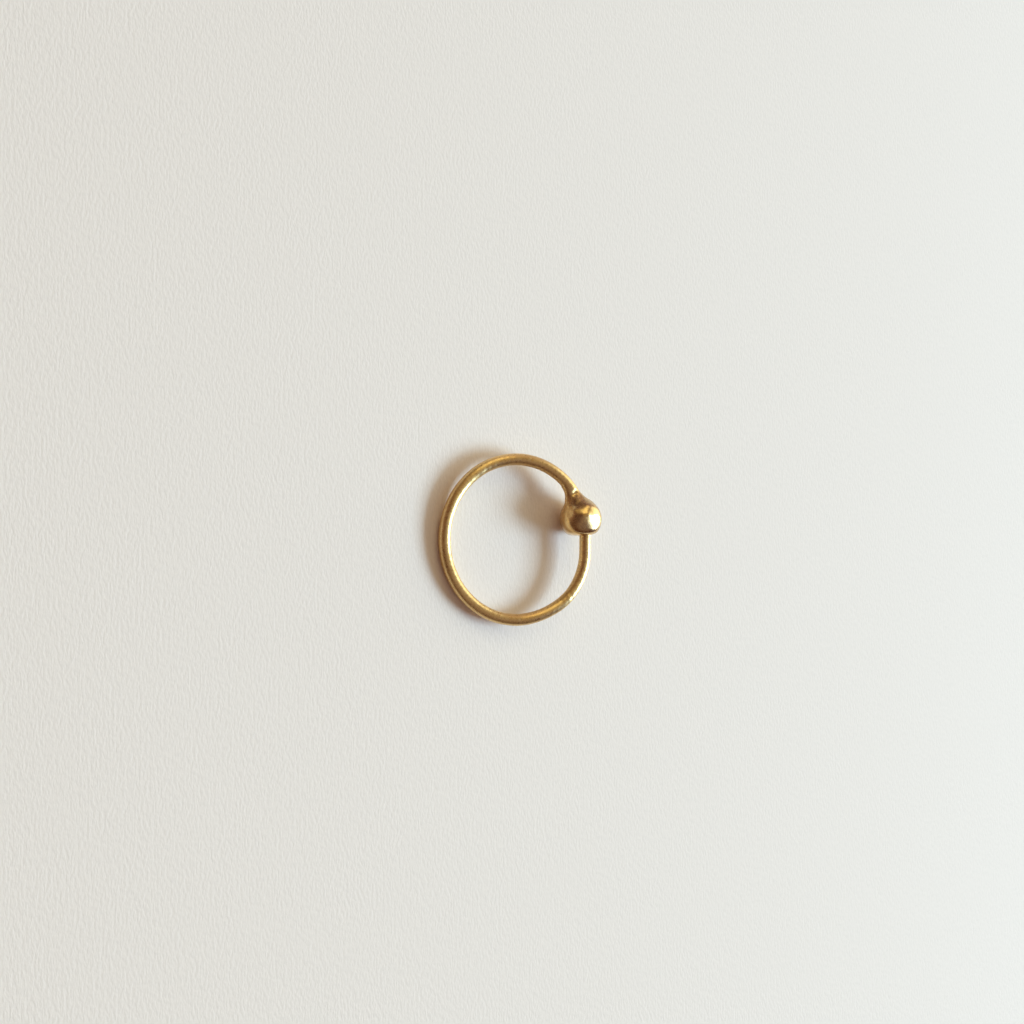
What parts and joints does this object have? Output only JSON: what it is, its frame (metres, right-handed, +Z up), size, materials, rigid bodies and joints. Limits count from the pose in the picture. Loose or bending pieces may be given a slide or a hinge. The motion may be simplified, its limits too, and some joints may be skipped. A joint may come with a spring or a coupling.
{
  "type": "nose ring",
  "caption": "Round wire hoop nose ring, whose free end springs into a socket in a bead soldered on its other end.",
  "frame": {"origin": "centre of the ring's box, on the surface that the ring lies on", "axes": "+Z up from that surface; the ring lies on its side; +X towards the bead's side of the hoop; the fixed end of the wire comes to the bead from +Y and the free end from -Y"},
  "size_m": [0.0122, 0.0116, 0.0029],
  "materials": {
    "gold": "polished"
  },
  "bodies": {
    "root": {"beaded_hoop": "gold"}
  },
  "joints": []
}
